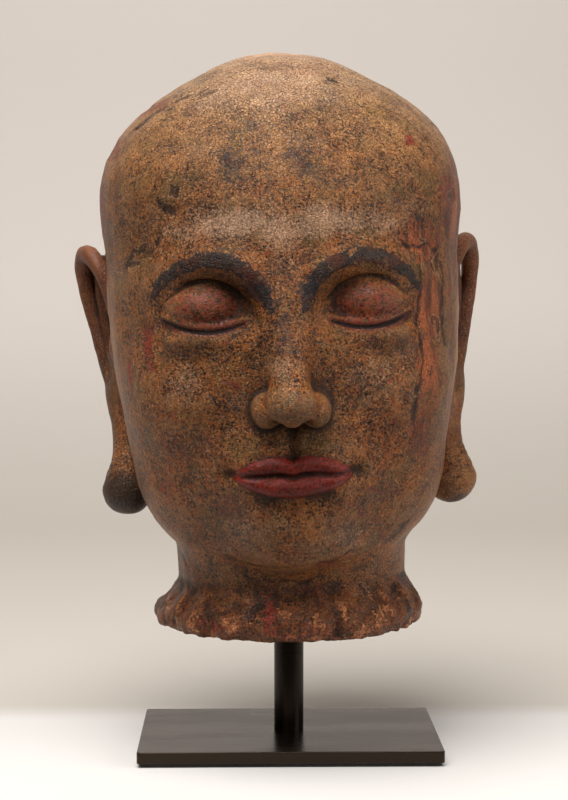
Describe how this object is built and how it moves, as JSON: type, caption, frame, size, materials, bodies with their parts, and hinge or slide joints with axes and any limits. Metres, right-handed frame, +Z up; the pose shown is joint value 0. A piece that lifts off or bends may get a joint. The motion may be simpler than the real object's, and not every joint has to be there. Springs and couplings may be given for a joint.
{
  "type": "luohan head sculpture",
  "caption": "Life-size lacquered head of a shaven-headed monk with long ears and a broken neck, held up by a steel rod on a small rectangular steel plate with a felt underside.",
  "frame": {"origin": "middle of the felt pad's underside, which the stand rests on", "axes": "+Z up along the rod, the face looks along -Y, +X is the head's own left"},
  "size_m": [0.2124, 0.211, 0.3504],
  "materials": {
    "lacquer": "aged dry lacquer with worn red, ochre and grey paint under a thin satin varnish",
    "blackened_steel": "satin black, waxed",
    "felt": "black needled felt"
  },
  "bodies": {
    "root": {"head": "lacquer", "post": "blackened_steel", "base_plate": "blackened_steel", "felt_pad": "felt"}
  },
  "joints": []
}
